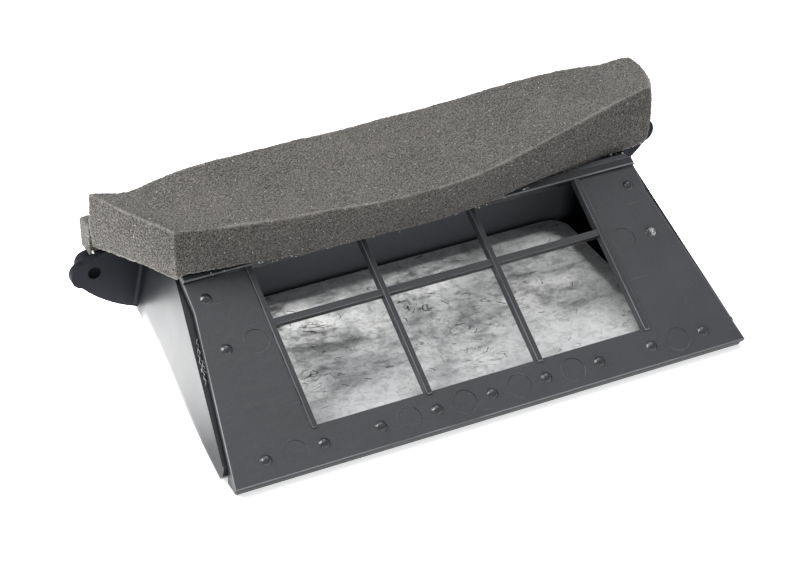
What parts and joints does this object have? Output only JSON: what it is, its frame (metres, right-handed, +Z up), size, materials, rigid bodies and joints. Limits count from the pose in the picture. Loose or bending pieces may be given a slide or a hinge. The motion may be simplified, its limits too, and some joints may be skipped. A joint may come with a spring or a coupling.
{
  "type": "air filter housing",
  "caption": "Wedge-shaped plastic air filter housing with a sloped grille window, filter media in its floor, mounting ears and foam seals.",
  "frame": {"origin": "bottom centre of the whole housing, on the plane that it rests on", "axes": "+X along the length between the two ears, +Y from the sloped grille to the rear wall, +Z up"},
  "size_m": [0.2772, 0.1293, 0.08],
  "materials": {
    "panel_plastic": "satin moulded plastic, dark charcoal",
    "shell_plastic": "polished moulded plastic, dark charcoal",
    "stake_plastic": "melted and re-formed plastic",
    "media_fibre": "non-woven fibre sheet, light grey with dark loose fibres",
    "bond_adhesive": "hot-melt adhesive",
    "seal_foam": "open-cell polyurethane foam, brownish grey",
    "strip_foam": "open-cell polyurethane foam, lighter grey",
    "tape_film": "thin adhesive film"
  },
  "bodies": {
    "root": {"front_panel": "panel_plastic", "rear_shell": "shell_plastic", "heat_stakes": "stake_plastic", "filter_media": "media_fibre", "media_bond": "bond_adhesive", "top_foam_seal": "seal_foam", "top_seal_tape": "tape_film", "rear_foam_strip": "strip_foam", "rear_strip_tape": "tape_film"}
  },
  "joints": []
}
